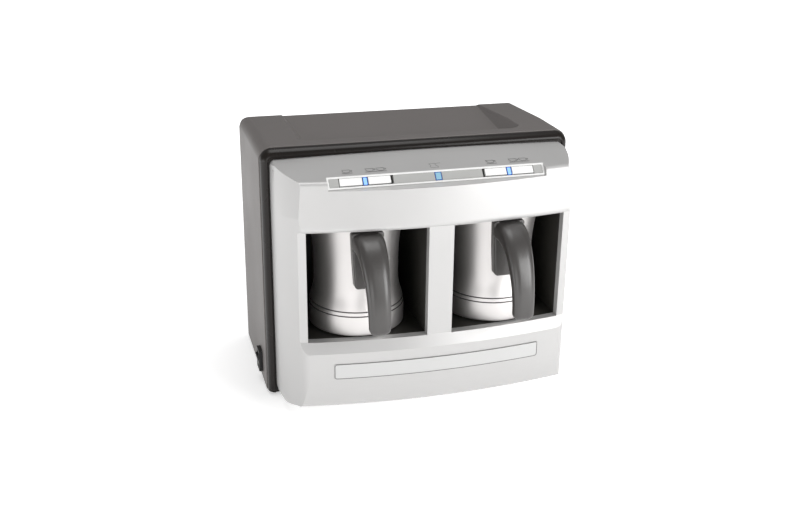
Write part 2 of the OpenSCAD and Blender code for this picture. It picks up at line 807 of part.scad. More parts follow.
// Radius of a pot's outside at a height above its bottom.
function pot_r(h) =
    let (shoulder = groove_h - 3)
    h < shoulder ? pot_foot_r
    : h < pot_waist_low ? pot_waist_r + (pot_foot_r - pot_waist_r)
        * (1 + cos(180 * (h - shoulder) / (pot_waist_low - shoulder))) / 2
    : h < pot_waist_high ? pot_waist_r
    : pot_waist_r + (pot_rim_r - pot_waist_r)
        * pow((h - pot_waist_high) / (pot_h - pot_waist_high), 1.6);

// Heights at which the pot's curve is drawn above its foot.
function pot_heights(h0) = concat(
    [for (i = [0 : 9]) h0 + (pot_waist_low - h0) * i / 9],
    [for (i = [0 : 9]) pot_waist_high + (pot_h - pot_waist_high) * i / 9]);

function groove(h) = [for (p = [[-0.6, 0], [-0.3, 0.6], [0.3, 0.6], [0.6, 0]])
    [pot_r(h + p[0]) - p[1], h + p[0]]];

// Moves a pot's own frame, with its bottom's middle at the origin, to its place in a bay.
module at_pot(side) { translate([side * bay_x, -pot_y, pot_z]) children(); }

// The pot's outside as a solid, grown by t.
module pot_solid(t) {
    heights = pot_heights(groove_h + groove_pitch + 1);
    rotate_extrude($fn = fine_fn) polygon(concat(
        [[0, 0], [pot_foot_r - 1 + t, 0], [pot_foot_r + t, 1.5],
         [pot_foot_r + t, groove_h - 3]],
        [for (h = heights) [pot_r(h) + t, h]],
        [[0, pot_h]]));
}

module pot(side) {
    h0 = groove_h + groove_pitch + 1;
    heights = pot_heights(h0);
    n = len(heights);
    color([0.74, 0.74, 0.75]) place() at_pot(side) difference() {
        rotate_extrude($fn = fine_fn) polygon(concat(
            [[0, 0], [pot_foot_r - 1, 0], [pot_foot_r, 1.5], [pot_foot_r, groove_h - 3]],
            groove(groove_h), groove(groove_h + groove_pitch),
            [for (h = heights) [pot_r(h), h]],
            [for (i = [1 : n - 1]) [pot_r(heights[n - i]) - pot_wall, heights[n - i]]],
            [[pot_r(h0) - pot_wall - 0.4, h0 - 2], [pot_foot_r - pot_wall - 1.4, groove_h - 4],
             [pot_foot_r - pot_wall - 1.4, pot_floor + 2], [pot_foot_r - pot_wall - 3.4, pot_floor],
             [0, pot_floor]]));
        for (h = handle_screw_hs) rod([0, -pot_foot_r - 9, h], [0, 0, h], 1.55);
    }
}

module pot_left() { pot(-1); }

module pot_right() { pot(1); }

module handle(side) {
    end_r = grip_t / 2;
    low = grip_end + end_r;
    d0 = bracket_reach + 2.5;
    d1 = grip_reach - grip_t;
    inner_h = handle_top - 19;
    arm_half = grip_w / 2;
    steps = 12;
    color([0.17, 0.17, 0.18]) place() at_pot(side) difference() {
        union() {
            along_x(-arm_half, arm_half) polygon(concat(
                [[-pot_waist_r, handle_top]],
                [for (i = [0 : steps]) [-d0 - (grip_reach - d0) * sin(i * 90 / steps),
                    low + (handle_top - low) * cos(i * 90 / steps)]],
                [for (i = [1 : 5]) [-grip_reach + end_r - end_r * cos(i * 30),
                    low - end_r * sin(i * 30)]],
                [for (i = [0 : steps]) [-d0 - (d1 - d0) * cos(i * 90 / steps),
                    low + (inner_h - low) * sin(i * 90 / steps)]],
                [[-pot_waist_r, inner_h]]));
            intersection() {
                along_y(-bracket_reach - 9, 0) polygon([
                    [-bracket_w / 2 + 3.5, bracket_low], [bracket_w / 2 - 3.5, bracket_low],
                    [bracket_w / 2, handle_top], [-bracket_w / 2, handle_top]]);
                translate([0, 0, bracket_low - 1]) linear_extrude(handle_top) polygon([
                    [-bracket_w, 0], [-bracket_w, 5 - bracket_reach],
                    [-bracket_w / 2 + 1.5, 1.5 - bracket_reach],
                    [-arm_half + 2.5, -bracket_reach], [arm_half - 2.5, -bracket_reach],
                    [bracket_w / 2 - 1.5, 1.5 - bracket_reach],
                    [bracket_w, 5 - bracket_reach], [bracket_w, 0]]);
            }
        }
        pot_solid(0.1);
        translate([0, 0, pot_h]) cylinder(r = pot_rim_r + 0.1, h = 9, $fn = fine_fn);
        for (h = handle_screw_hs)
            rod([0, -bracket_reach + 1.6, h], [0, 0, h], 1.55);
    }
}

module handle_left() { handle(-1); }

module handle_right() { handle(1); }

// Domed screws from inside a pot into its handle's bracket.
module handle_screws(side) {
    color([0.75, 0.75, 0.77]) place() at_pot(side) for (h = handle_screw_hs) {
        r_in = pot_r(h) - pot_wall;
        seat = sqrt(r_in * r_in - 9) - 0.25;
        rod([0, -seat, h], [0, -seat + 1.4, h], 3);
        rod([0, -bracket_reach + 2.2, h], [0, -seat + 0.2, h], 1.5);
    }
}

module handle_screws_left() { handle_screws(-1); }

module handle_screws_right() { handle_screws(1); }

// ---------------------------------------------------------------- heating

module hotplate(side) {
    color([0.30, 0.30, 0.31]) place() in_bay(side) translate([0, -pot_y, plate_under]) {
        cylinder(r = flange_r, h = flange_t, $fn = fine_fn);
        cylinder(r = plate_r, h = plate_top - plate_under, $fn = fine_fn);
    }
}

module hotplate_left() { hotplate(-1); }

module hotplate_right() { hotplate(1); }

// A C-shaped heating element under its plate, with both ends bent down through the pan.
module element(side) {
    gap = 360 - element_span;
    color([0.45, 0.42, 0.40]) place() in_bay(side)
        translate([0, -pot_y, plate_under - element_r]) rotate([0, 0, 90 + gap / 2]) {
            rotate_extrude(angle = element_span, $fn = 96)
                translate([element_ring_r, 0]) circle(r = element_r, $fn = 32);
            for (a = [0, element_span]) rotate([0, 0, a]) translate([element_ring_r, 0, 0]) {
                sphere(r = element_r - 0.05, $fn = 32);
                translate([0, 0, -pan_depth - 6]) cylinder(r = element_r - 0.3,
                    h = pan_depth + 6, $fn = 32);
                translate([-0.5, -2, -pan_depth - 14]) cube([1, 4, 9]);
            }
        }
}

module element_left() { element(-1); }

module element_right() { element(1); }

// The pan under an element, screwed to the liner's ears through three tabs.
module heat_shield(side) {
    pan_r = flange_r;
    gap = 360 - element_span;
    color([0.70, 0.70, 0.71]) place() in_bay(side) translate([0, -pot_y, 0]) difference() {
        union() {
            translate([0, 0, plate_under - pan_depth])
                cylinder(r = pan_r, h = pan_depth, $fn = fine_fn);
            for (a = ear_angles) rotate([0, 0, a])
                span([pan_r - 2, -4, plate_under - pan_t], [ear_r + 4, 4, plate_under]);
        }
        translate([0, 0, plate_under - pan_depth + pan_t])
            cylinder(r = pan_r - pan_t, h = pan_depth, $fn = fine_fn);
        rod([0, 0, plate_under - pan_depth - 1], [0, 0, plate_under], 12);
        for (a = ear_angles) rotate([0, 0, a])
            rod([ear_r, 0, plate_under - 3], [ear_r, 0, plate_under + 3], 1.6);
        for (a = [90 - gap / 2, 90 + gap / 2]) rotate([0, 0, a])
            rod([element_ring_r, 0, plate_under - pan_depth - 1],
                [element_ring_r, 0, plate_under - pan_depth + 3], element_r + 0.4);
    }
}

module heat_shield_left() { heat_shield(-1); }

module heat_shield_right() { heat_shield(1); }

module shield_screws(side) {
    color([0.75, 0.75, 0.77]) place() in_bay(side) translate([0, -pot_y, plate_under])
        for (a = ear_angles) rotate([0, 0, a]) translate([ear_r, 0, 0]) {
            translate([0, 0, -pan_t - 2]) cylinder(r = 3, h = 2, $fn = 32);
            translate([0, 0, -pan_t - 0.1])
                cylinder(r = 1.3, h = pan_t + flange_t + 1, $fn = 24);
        }
}

module shield_screws_left() { shield_screws(-1); }

module shield_screws_right() { shield_screws(1); }

module thermostat(side) {
    color([0.12, 0.12, 0.12]) place() in_bay(side) translate([0, -pot_y, plate_under]) {
        translate([0, 0, -9]) cylinder(r = 8, h = 9, $fn = 48);
        for (x = [-5, 5]) span([x - 0.4, -3, -17], [x + 0.4, 3, -8]);
    }
}

module thermostat_left() { thermostat(-1); }

module thermostat_right() { thermostat(1); }

// One fuse under each pan, in the lead to its element.
module thermal_fuses() {
    color([0.72, 0.70, 0.66]) place() for (side = [-1, 1]) in_bay(side)
        rod([14, -pot_y + 14, plate_under - pan_depth - 2.1],
            [27, -pot_y + 14, plate_under - pan_depth - 2.1], 2.1);
}

// ---------------------------------------------------------------- foam sensors

module foam_sensor(side) {
    z0 = bay_top + liner_wall;
    color([0.20, 0.20, 0.22]) place() in_bay(side) translate([0, -pot_y, z0]) difference() {
        span([-15, -10, 0], [15, 10, 12]);
        rod([0, 0, -1], [0, 0, 7], 6.2);
    }
}

module foam_sensor_left() { foam_sensor(-1); }

module foam_sensor_right() { foam_sensor(1); }

// The clear window of a foam sensor: it lies in the liner's ceiling hole.
module sensor_window(side) {
    z0 = bay_top + liner_wall;
    color([0.35, 0.10, 0.10]) place() in_bay(side) translate([0, -pot_y, 0]) {
        translate([0, 0, bay_top]) cylinder(r = 5.2, h = liner_wall + 0.1, $fn = 48);
        translate([0, 0, z0]) cylinder(r = 6.1, h = 1.5, $fn = 48);
    }
}

module sensor_window_left() { sensor_window(-1); }

module sensor_window_right() { sensor_window(1); }

// ---------------------------------------------------------------- power switch

module switch_housing() {
    x0 = -half_w - switch_flange;
    pocket_z = rocker_half_z + 1.4;
    color([0.07, 0.07, 0.07]) place() translate([0, switch_y, switch_z]) difference() {
        union() {
            span([x0, -switch_w / 2, -switch_h / 2], [-half_w, switch_w / 2, switch_h / 2]);
            span([-half_w - 1, -switch_body_y, -switch_body_z],
                 [-half_w + 20, switch_body_y, switch_body_z]);
            for (z = [-6, 6]) span([-half_w + 19, -2.4, z - 0.4], [-half_w + 27, 2.4, z + 0.4]);
        }
        span([x0 - 1, -pocket_y, -pocket_z], [rocker_pin_x + 4, pocket_y, pocket_z]);
        rod([rocker_pin_x, -switch_w, 0], [rocker_pin_x, switch_w, 0], rocker_pin_r + 0.05);
    }
}

// The rocker, tilted so that its upper end stands out.
module switch_rocker() {
    face = -7;
    half_y = pocket_y - 0.35;
    hz = rocker_half_z;
    color([0.10, 0.10, 0.10]) place() translate([rocker_pin_x, switch_y, switch_z])
        rotate([0, -rocker_tilt, 0]) {
            along_y(-half_y, half_y) polygon([
                [face, -hz], [face + 0.5, 0], [face, hz], [face + 2, hz], [2, 2.4], [2, -2.4],
                [face + 2, -hz]]);
            rod([0, 0.3 - switch_body_y, 0], [0, switch_body_y - 0.3, 0], rocker_pin_r);
        }
}

// ---------------------------------------------------------------- base

module base_plate() {
    inner = half_w - shell_wall - clear;
    y_front = -panel_rear + clear;
    neck = panel_half - panel_wall - 2;
    color([0.12, 0.12, 0.12]) place() difference() {
        union() {
            span([-inner, lug_t + clear, 0], [inner, shell_d - shell_wall - clear, plate_t]);
            span([-neck, y_front, 0], [neck, lug_t + 1, plate_t]);
            for (p = standoffs) rod([p[0], p[1], plate_t - 1], [p[0], p[1], board_z], 3.5);
        }
        for (side = [-1, 1], y = base_screw_ys)
            rod([side * base_screw_x, y, -1], [side * base_screw_x, y, plate_t + 1], 1.8);
        for (side = [-1, 1], y = [lug_t + clear - 1, shell_d - shell_wall - clear + 1])
            translate([side * inner, y, 0]) cube([2 * rear_r, 2 * rear_r, 3 * big], center = true);
        for (x = foot_xs) rod([x, foot_rear_y, -1], [x, foot_rear_y, plate_t + 1],
            foot_stem_r + 0.1);
        for (p = standoffs) rod([p[0], p[1], plate_t + 1], [p[0], p[1], board_z + 1], 1.3);
        for (i = [-8 : 8]) span([i * 8 - 1.5, 18, -1], [i * 8 + 1.5, 36, plate_t + 1]);
    }
}

module base_screws() {
    color([0.75, 0.75, 0.77]) place() for (side = [-1, 1], y = base_screw_ys)
        translate([side * base_screw_x, y, 0]) {
            translate([0, 0, -1.5]) cylinder(r = 3.2, h = 1.5, $fn = 32);
            translate([0, 0, -0.1]) cylinder(r = 1.45, h = base_boss_top - 2.5, $fn = 24);
        }
}

// Four soft feet: discs with stems that snap through their holes.
module rubber_feet() {
    color([0.08, 0.08, 0.08]) place() for (x = foot_xs, front = [0, 1]) {
        top = front == 1 ? panel_wall + 2 : plate_t;
        translate([x, front == 1 ? foot_front_y : foot_rear_y, 0]) {
            translate([0, 0, -foot_h]) cylinder(r1 = foot_r - 1, r2 = foot_r, h = foot_h, $fn = 48);
            translate([0, 0, -0.1]) cylinder(r = foot_stem_r, h = top + 0.2, $fn = 32);
            translate([0, 0, top]) cylinder(r1 = foot_stem_r + 1, r2 = foot_stem_r, h = 2, $fn = 32);
        }
    }
}

module shell_screws() {
    color([0.75, 0.75, 0.77]) place() for (side = [-1, 1], z = lug_zs) {
        x = side * lug_screw_x;
        rod([x, 2 * lug_t, z], [x, 2 * lug_t + 2, z], 3.2);
        rod([x, -panel_rear - 9, z], [x, 2 * lug_t + 0.1, z], 1.5);
    }
}

// ---------------------------------------------------------------- electrics

module power_board() {
    color([0.10, 0.30, 0.16]) place() difference() {
        span([-board_w / 2, board_y - board_d / 2, board_z],
             [board_w / 2, board_y + board_d / 2, board_z + pcb_t]);
        for (p = standoffs) rod([p[0], p[1], board_z - 1], [p[0], p[1], board_z + 3], 1.6);
    }
}

module power_board_screws() {
    color([0.75, 0.75, 0.77]) place() for (p = standoffs)
        translate([p[0], p[1], board_z + pcb_t]) {
            cylinder(r = 2.8, h = 1.8, $fn = 32);
            translate([0, 0, -6.5]) cylinder(r = 1.25, h = 6.6, $fn = 24);
        }
}

module transformer() {
    z = board_z + pcb_t;
    color([0.25, 0.25, 0.27]) place() translate([38, board_y + 5, z]) {
        span([-21, -18, 0], [21, 18, 34]);
        span([-14, -23, 5], [14, 23, 29]);
    }
}

module relays() {
    color([0.12, 0.25, 0.55]) place() for (x = [-58, -32])
        translate([x, board_y + 14, board_z + pcb_t]) span([-10, -8, 0], [10, 8, 16]);
}

module buzzer() {
    color([0.09, 0.09, 0.09]) place() translate([-10, board_y + 20, board_z + pcb_t]) difference() {
        cylinder(r = 6, h = 9, $fn = 48);
        translate([0, 0, 7]) cylinder(r = 1.2, h = 5, $fn = 24);
    }
}

module terminal_block() {
    color([0.85, 0.84, 0.78]) place() translate([gland_x - 4, board_y, plate_t]) difference() {
        span([-8, -17, 0], [8, 17, 14]);
        for (y = [-11, 0, 11]) rod([0, y, 6], [0, y, 20], 2.6);
    }
}

// The gland that grips the supply cord in the rear wall.
module cord_gland() {
    y0 = shell_d - shell_wall;
    color([0.08, 0.08, 0.08]) place() translate([gland_x, 0, gland_z]) difference() {
        union() {
            rod([0, y0 - 14, 0], [0, shell_d + 1, 0], 7);
            rod([0, shell_d, 0], [0, shell_d + gland_flange, 0], 10);
            rod([0, y0 - 4, 0], [0, y0, 0], 9);
        }
        rod([0, y0 - 20, 0], [0, shell_d + 9, 0], gland_bore_r);
    }
}

// From the switch and the terminal block to the power board.
module mains_leads() {
    y = switch_y;
    top = board_z + pcb_t + 1.4;
    color([0.45, 0.25, 0.12]) place() {
        for (i = [-1, 1]) {
            a = [-half_w + 28.5, y, switch_z + i * 6];
            lead([a, [-half_w + 36, y + 4 - 3 * i, a[2]],
                  [-half_w + 44, board_y - 6 * i, top + 7 + 4 * i],
                  [-board_w / 2 + 6, board_y - 6 * i, top]], 1.4);
        }
        for (i = [-1, 1])
            lead([[gland_x - 4, board_y + 11 * i, plate_t + 15.5],
                  [gland_x - 12, board_y + 11 * i, plate_t + 24],
                  [board_w / 2 + 4, board_y + 6 * i, top + 8], [board_w / 2 - 6, board_y + 6 * i, top]],
                1.4);
    }
}

// From the power board to both elements.
module heater_leads() {
    z1 = plate_under - element_r - pan_depth - 15;
    gap = 360 - element_span;
    x1 = element_ring_r * sin(gap / 2);
    y1 = -pot_y + element_ring_r * cos(gap / 2);
    color([0.75, 0.73, 0.68]) place() for (side = [-1, 1], i = [-1, 1]) {
        x = side * bay_x + i * x1;
        lead([[x, y1, z1 + 0.6], [x, y1 + 8, z1 - 9], [x, board_y - board_d / 2 - 8, 30 + 2 * i],
              [side * 58 + i * 4, board_y - board_d / 2 + 4, board_z + pcb_t + 1.5]], 1.5);
    }
}

// From the control board down behind the bays to the power board.
module signal_cable() {
    a = strip_point(strip_l / 2, board_n - pcb_t - 0.1);
    b = strip_point(strip_l / 2, board_n - pcb_t - 8);
    color([0.55, 0.55, 0.57]) place()
        lead([[0, a[0], a[1]], [0, b[0], b[1]], [0, bay_rear + 10, 204], [0, bay_rear + 14, 60],
              [0, board_y - board_d / 2 + 4, board_z + pcb_t + 2]], 2);
}

rear_shell();
trim_ring();
front_panel();
bay_liner_left();
bay_liner_right();
control_bezel();
strip_inlays();
key_left_one();
key_left_two();
key_right_one();
key_right_two();
led_lens_left();
led_lens_centre();
led_lens_right();
control_board();
tact_switches();
leds();
board_screws();
label_plate();
pot_left();
pot_right();
handle_left();
handle_right();
handle_screws_left();
handle_screws_right();
hotplate_left();
hotplate_right();
element_left();
element_right();
heat_shield_left();
heat_shield_right();
shield_screws_left();
shield_screws_right();
thermostat_left();
thermostat_right();
thermal_fuses();
foam_sensor_left();
foam_sensor_right();
sensor_window_left();
sensor_window_right();
switch_housing();
switch_rocker();
base_plate();
base_screws();
rubber_feet();
shell_screws();
power_board();
power_board_screws();
transformer();
relays();
buzzer();
terminal_block();
cord_gland();
mains_leads();
heater_leads();
signal_cable();
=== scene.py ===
"""Two-pot electric coffee maker: skins, finishes, printed marks and studio."""
import math

import bpy
from mathutils import Matrix, Vector


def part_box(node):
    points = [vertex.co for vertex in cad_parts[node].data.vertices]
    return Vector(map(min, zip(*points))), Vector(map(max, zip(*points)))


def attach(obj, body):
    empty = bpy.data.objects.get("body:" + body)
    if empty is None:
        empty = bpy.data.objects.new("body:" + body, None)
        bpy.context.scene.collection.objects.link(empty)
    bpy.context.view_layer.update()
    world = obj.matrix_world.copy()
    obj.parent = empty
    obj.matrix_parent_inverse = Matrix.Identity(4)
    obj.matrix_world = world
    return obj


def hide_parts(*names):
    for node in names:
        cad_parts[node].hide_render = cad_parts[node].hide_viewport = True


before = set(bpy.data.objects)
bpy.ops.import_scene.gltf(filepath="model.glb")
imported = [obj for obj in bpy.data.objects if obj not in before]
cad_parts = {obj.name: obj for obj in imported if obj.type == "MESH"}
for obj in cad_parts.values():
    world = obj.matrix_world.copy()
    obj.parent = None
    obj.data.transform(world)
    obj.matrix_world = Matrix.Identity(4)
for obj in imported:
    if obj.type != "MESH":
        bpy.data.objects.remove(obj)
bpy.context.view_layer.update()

# ---- Rear shell -----------------------------------------------------------------------
# The hood over the top, sides and rear, with its sunken cup tray. Injection-moulded ABS
# in a warm taupe with a fine even grain, its top and rear edges barely broken.


def surface(name, pale, deep, rough, swing, grain, relief, metal=0.0, lacquer=0.0,
            drift=11.0, stretch=(1.0, 1.0, 1.0), bite=0.35):
    """A finish with slow colour drift, uneven gloss and a fine relief at its real scale."""
    finish = bpy.data.materials.new(name)
    finish.use_nodes = True
    nodes, links = finish.node_tree.nodes, finish.node_tree.links
    shader = nodes["Principled BSDF"]
    shader.inputs["Metallic"].default_value = metal
    shader.inputs["Coat Weight"].default_value = lacquer
    shader.inputs["Coat Roughness"].default_value = 0.06
    where = nodes.new("ShaderNodeTexCoord")
    spread = nodes.new("ShaderNodeMapping")
    spread.inputs["Scale"].default_value = stretch
    cloud = nodes.new("ShaderNodeTexNoise")
    cloud.inputs["Scale"].default_value = drift
    cloud.inputs["Detail"].default_value = 5.0
    tint = nodes.new("ShaderNodeMix")
    tint.data_type = "RGBA"
    tint.inputs[6].default_value = (*deep, 1.0)
    tint.inputs[7].default_value = (*pale, 1.0)
    gloss = nodes.new("ShaderNodeMapRange")
    gloss.inputs["From Min"].default_value = 0.3
    gloss.inputs["From Max"].default_value = 0.7
    gloss.inputs["To Min"].default_value = rough - swing
    gloss.inputs["To Max"].default_value = rough + swing
    fine = nodes.new("ShaderNodeTexNoise")
    fine.inputs["Scale"].default_value = grain
    fine.inputs["Detail"].default_value = 2.0
    raised = nodes.new("ShaderNodeBump")
    raised.inputs["Strength"].default_value = bite
    raised.inputs["Distance"].default_value = relief
    links.new(where.outputs["Object"], cloud.inputs["Vector"])
    links.new(where.outputs["Object"], spread.inputs["Vector"])
    links.new(spread.outputs["Vector"], fine.inputs["Vector"])
    links.new(cloud.outputs["Fac"], tint.inputs[0])
    links.new(tint.outputs[2], shader.inputs["Base Color"])
    links.new(cloud.outputs["Fac"], gloss.inputs["Value"])
    links.new(gloss.outputs["Result"], shader.inputs["Roughness"])
    links.new(fine.outputs["Fac"], raised.inputs["Height"])
    links.new(raised.outputs["Normal"], shader.inputs["Normal"])
    return finish


def only(piece):
    """Leaves just this piece selected and active."""
    bpy.ops.object.select_all(action="DESELECT")
    piece.select_set(True)
    bpy.context.view_layer.objects.active = piece


def even_shading(piece, angle):
    """Smooth faces that stay flat where they are flat, sharp past the angle."""
    only(piece)
    bpy.ops.object.shade_smooth_by_angle(angle=math.radians(angle))
    bpy.ops.object.modifier_add(type="WEIGHTED_NORMAL")
    piece.modifiers[-1].keep_sharp = True
    bpy.ops.object.modifier_apply(modifier=piece.modifiers[-1].name)


def take(node, name, *finishes):
    """A merged copy of a solid, with its flat faces whole, to be worked on."""
    piece = bpy.data.objects.new(name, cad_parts[node].data.copy())
    bpy.context.collection.objects.link(piece)
    piece.data.materials.clear()
    for finish in finishes:
        piece.data.materials.append(finish)
    only(piece)
    bpy.ops.object.mode_set(mode="EDIT")
    bpy.ops.mesh.select_all(action="SELECT")
    bpy.ops.mesh.remove_doubles(threshold=0.000002)
    bpy.ops.mesh.dissolve_limited(angle_limit=math.radians(0.03))
    bpy.ops.object.mode_set(mode="OBJECT")
    return piece


def ease(piece, radius, rounds=2, where=None):
    """Rounds the edges sharper than 30 degrees whose two ends lie where the rule says."""
    only(piece)
    bpy.ops.object.mode_set(mode="EDIT")
    bpy.ops.mesh.select_mode(type="EDGE")
    bpy.ops.mesh.select_all(action="DESELECT")
    bpy.ops.mesh.edges_select_sharp(sharpness=math.radians(30))
    bpy.ops.object.mode_set(mode="OBJECT")
    points = piece.data.vertices
    chosen = 0
    for edge in piece.data.edges:
        if edge.select and where and not all(where(points[i].co) for i in edge.vertices):
            edge.select = False
        chosen += edge.select
    bpy.ops.object.mode_set(mode="EDIT")
    if chosen:
        bpy.ops.mesh.bevel(offset=radius, segments=rounds, profile=0.5, clamp_overlap=False)
    bpy.ops.object.mode_set(mode="OBJECT")


def stand_in(piece, body, node):
    """The piece rides on a body and is shown in place of its solid."""
    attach(piece, body)
    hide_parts(node)


taupe = surface("taupe_grained_abs", (0.150, 0.137, 0.132), (0.137, 0.125, 0.120),
                0.52, 0.05, 2300.0, 0.00009)
hood = take("rear_shell", "shell_moulding", taupe)
front_rim, top_band, rear_band = -0.0074, 0.225, 0.12
ease(hood, 0.0006,
     where=lambda p: p.y > front_rim and (p.z > top_band or p.y > rear_band))
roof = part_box("rear_shell")[1][2]  # two points of the tray's corners stand over it
for corner in hood.data.vertices:
    corner.co.z = min(corner.co.z, roof)
even_shading(hood, 25)
stand_in(hood, "machine", "rear_shell")

# ---- Trim ring ------------------------------------------------------------------------
# The band that frames the front panel. Polished dark brown acrylic, clipped between the
# shell and the panel, with a shadow gap on each side.

smoked = surface("smoked_gloss_acrylic", (0.014, 0.011, 0.0095), (0.010, 0.008, 0.007),
                 0.27, 0.04, 60.0, 0.0002, bite=0.05)
smoked.node_tree.nodes["Principled BSDF"].inputs["Specular IOR Level"].default_value = 0.25
band = take("trim_ring", "ring_moulding", smoked)
even_shading(band, 35)
stand_in(band, "machine", "trim_ring")

# ---- Front panel ----------------------------------------------------------------------
# Deck, fascia, pillars and base block in one moulding. Sprayed a pearly silver under a
# satin clear coat, with a trace of orange peel, and pad-printed with small cup outlines.


def paint(node, finish):
    """Gives a solid of the frame its finish."""
    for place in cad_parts[node].material_slots:
        place.material = finish


pearl = surface("pearl_silver_paint", (0.53, 0.525, 0.52), (0.49, 0.485, 0.48),
                0.38, 0.03, 900.0, 0.00005, metal=0.25, lacquer=0.1, bite=0.2)
paint("front_panel", pearl)


def drawn(name, lines, thick, finish):
    """Thin printed lines: each is a chain of points, made one flat mesh."""
    art = bpy.data.curves.new(name, "CURVE")
    art.dimensions = "3D"
    art.bevel_depth, art.bevel_resolution = thick / 2, 1
    for chain, closed in lines:
        run = art.splines.new("POLY")
        run.points.add(len(chain) - 1)
        for point, place in zip(run.points, chain):
            point.co = (*place, 1.0)
        run.use_cyclic_u = closed
    piece = bpy.data.objects.new(name, art)
    bpy.context.collection.objects.link(piece)
    only(piece)
    bpy.ops.object.convert(target="MESH")
    piece = bpy.context.object
    piece.data.materials.clear()
    piece.data.materials.append(finish)
    return piece


deck_y, deck_z, deck_slope, flat_depth = -0.00725, 0.239, 0.1034, 0.0096
mark_row, mark_unit, ink_height = 0.0505, 0.00133, 0.00002


def on_deck(x, u, v):
    """A spot of a small drawing on the sloping deck, u to the right and v to the rear."""
    ahead = mark_row - v * mark_unit
    return (x + u * mark_unit, deck_y - ahead,
            deck_z - deck_slope * (ahead - flat_depth) + ink_height)


grey_ink = surface("grey_pad_print", (0.165, 0.165, 0.165), (0.135, 0.135, 0.135),
                   0.5, 0.05, 1500.0, 0.00003)
bowl = [(-2.6, 3.0), (-2.5, 1.0), (-1.9, -0.8), (-1.0, -1.6), (1.0, -1.6), (1.9, -0.8),
        (2.5, 1.0), (2.6, 3.0)]
loop = [(2.5, 2.0), (3.7, 2.0), (3.9, 0.8), (3.0, 0.0), (2.2, 0.2)]
saucer = [(-3.6, -2.6), (3.6, -2.6)]
jug = [(-2.6, -3.0), (2.6, -3.0), (2.7, -1.2), (1.6, 1.4), (1.9, 4.0), (-2.4, 4.0),
       (-1.6, 1.4), (-2.7, -1.2)]
spout = [(1.8, 3.2), (5.4, 4.6), (5.8, 3.8)]
marks = []
cup_spacing = 0.0098
for middle, cups in ((-0.080, 1), (-0.054, 2), (0.054, 1), (0.081, 2)):
    for cup in range(cups):
        x = middle + (cup - (cups - 1) / 2) * cup_spacing
        marks += [([on_deck(x, u, v) for u, v in bowl], True),
                  ([on_deck(x, u, v) for u, v in loop], False),
                  ([on_deck(x, u, v) for u, v in saucer], False)]
marks += [([on_deck(0.0, u, v) for u, v in jug], True),
          ([on_deck(0.0, u, v) for u, v in spout], False)]
icons = drawn("deck_cup_marks", marks, 0.00033, grey_ink)
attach(icons, "machine")

# ---- Pot bays -------------------------------------------------------------------------
# Two black liners behind the openings, one round each pot. Glass-filled nylon, moulded
# thin, and matt because it has to stand the heat.

soot = surface("black_nylon", (0.028, 0.026, 0.022), (0.021, 0.020, 0.017),
               0.55, 0.08, 1800.0, 0.0001)
for side in ("left", "right"):
    paint("bay_liner_" + side, soot)

# ---- Control strip --------------------------------------------------------------------
# A pale moulded frame across the deck's front edge holds four white keys, grey filler bars
# and three blue light bars, all in one sloping line. The faces sunk below its rails are painted
# dark grey as shade.

milk = surface("milk_white_key_plastic", (0.86, 0.86, 0.85), (0.82, 0.82, 0.81),
               0.22, 0.04, 500.0, 0.00004, lacquer=0.4, bite=0.1)
bone = surface("pale_bezel_plastic", (0.80, 0.80, 0.79), (0.74, 0.74, 0.73),
               0.32, 0.05, 1500.0, 0.00004)
ash = surface("grey_filler_plastic", (0.42, 0.42, 0.41), (0.37, 0.37, 0.36),
              0.34, 0.05, 1500.0, 0.00004)
blue = surface("blue_light_bar", (0.34, 0.55, 0.95), (0.22, 0.42, 0.88),
               0.18, 0.04, 700.0, 0.00003, lacquer=0.5)
lit = blue.node_tree.nodes["Principled BSDF"].inputs
lit["Emission Color"].default_value = (0.12, 0.35, 1.0, 1.0)
lit["Emission Strength"].default_value = 0.45
aqua = surface("aqua_light_bar", (0.29, 0.51, 0.64), (0.24, 0.45, 0.58),
               0.18, 0.04, 700.0, 0.00003, lacquer=0.5)
# Painted shade: a dark grey for the faces sunk below the strip's rails.
slot_shade_paint = surface("bezel_slot_shadow_grey", (0.055, 0.055, 0.055), (0.040, 0.040, 0.040),
                 0.6, 0.05, 1500.0, 0.00004)
night = surface("dark_blue_lens_rim", (0.045, 0.12, 0.46), (0.030, 0.09, 0.36),
                0.20, 0.04, 700.0, 0.00003, lacquer=0.4)
paint("strip_inlays", ash)
paint("leds", blue)
# Down along the strip's face, out of it, and a spot in its plane.
down = Vector((0.0, -8.0, -9.1)).normalized()
outward = Vector((0.0, -9.1, 8.0)).normalized()
strip_heart = Vector((0.0, -0.06835, 0.23397))
rail_height, key_gap, lens_rim = 0.0003, 0.0007, 0.0006

surround = take("control_bezel", "bezel_moulding", bone, slot_shade_paint)
ease(surround, 0.0003)
# Every face lower than the rails' top takes the painted shade.
for face in surround.data.polygons:
    sunk = (face.center - strip_heart).dot(outward) < rail_height
    face.material_index = 1 if sunk else 0
even_shading(surround, 30)
stand_in(surround, "machine", "control_bezel")
for key in ("key_left_one", "key_left_two", "key_right_one", "key_right_two"):
    cap = take(key, key + "_cap", milk)
    lower_edge = {i for face in cap.data.polygons if face.normal.dot(down) > 0.9
                  for i in face.vertices}
    for i in lower_edge:
        cap.data.vertices[i].co -= down * key_gap
    ease(cap, 0.0004, 3)
    even_shading(cap, 30)
    stand_in(cap, key, key)

